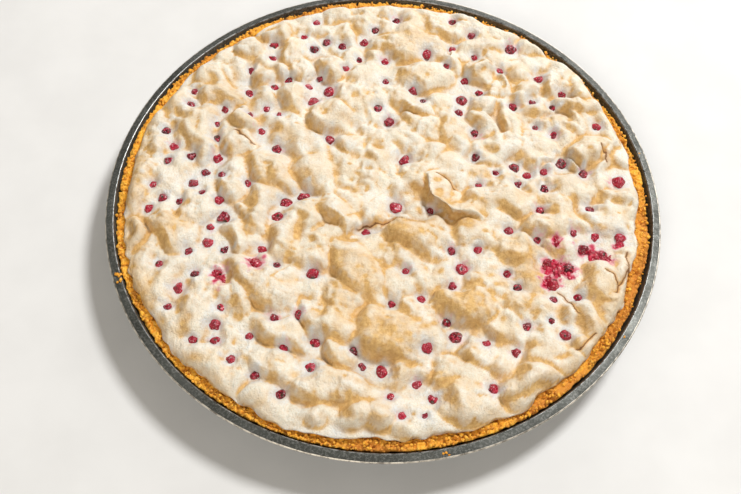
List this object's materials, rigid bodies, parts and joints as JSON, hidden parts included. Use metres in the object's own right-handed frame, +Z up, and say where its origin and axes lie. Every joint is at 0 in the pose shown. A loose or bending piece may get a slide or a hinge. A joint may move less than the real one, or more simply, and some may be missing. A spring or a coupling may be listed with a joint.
{
  "type": "redcurrant meringue tart",
  "caption": "Round baked tart with a crumbly shortcrust shell and a bumpy browned meringue dotted with redcurrants, in its shallow dark tin.",
  "frame": {"origin": "middle of the tin's underside", "axes": "+Z up, out of the open top of the tin; the view of the picture comes from -Y and above"},
  "size_m": [0.32, 0.32, 0.0375],
  "materials": {
    "tin": "dark non-stick coating with fine speckle, bare bright outer edge",
    "crust": "golden, crumbly and dry",
    "meringue": "matt, cream in the hollows and tan on the mounds",
    "currant": "glossy and shrivelled"
  },
  "bodies": {
    "root": {"tin": "tin", "crust": "crust", "meringue": "meringue", "currant_01": "currant", "currant_02": "currant", "currant_03": "currant", "currant_04": "currant", "currant_05": "currant", "currant_06": "currant", "currant_07": "currant", "currant_08": "currant", "currant_09": "currant", "currant_10": "currant", "currant_11": "currant", "currant_12": "currant", "currant_13": "currant", "currant_14": "currant", "currant_15": "currant", "currant_16": "currant", "currant_17": "currant", "currant_18": "currant", "currant_19": "currant", "currant_20": "currant", "currant_21": "currant", "currant_22": "currant", "currant_23": "currant", "currant_24": "currant", "currant_25": "currant", "currant_26": "currant", "currant_27": "currant", "currant_28": "currant", "currant_29": "currant", "currant_30": "currant", "currant_31": "currant", "currant_32": "currant", "currant_33": "currant", "currant_34": "currant", "currant_35": "currant", "currant_36": "currant", "currant_37": "currant", "currant_38": "currant", "currant_39": "currant", "currant_40": "currant", "currant_41": "currant", "currant_42": "currant", "currant_43": "currant", "currant_44": "currant", "currant_45": "currant", "currant_46": "currant", "currant_47": "currant", "currant_48": "currant", "currant_49": "currant", "currant_50": "currant", "currant_51": "currant", "currant_52": "currant"}
  },
  "joints": []
}
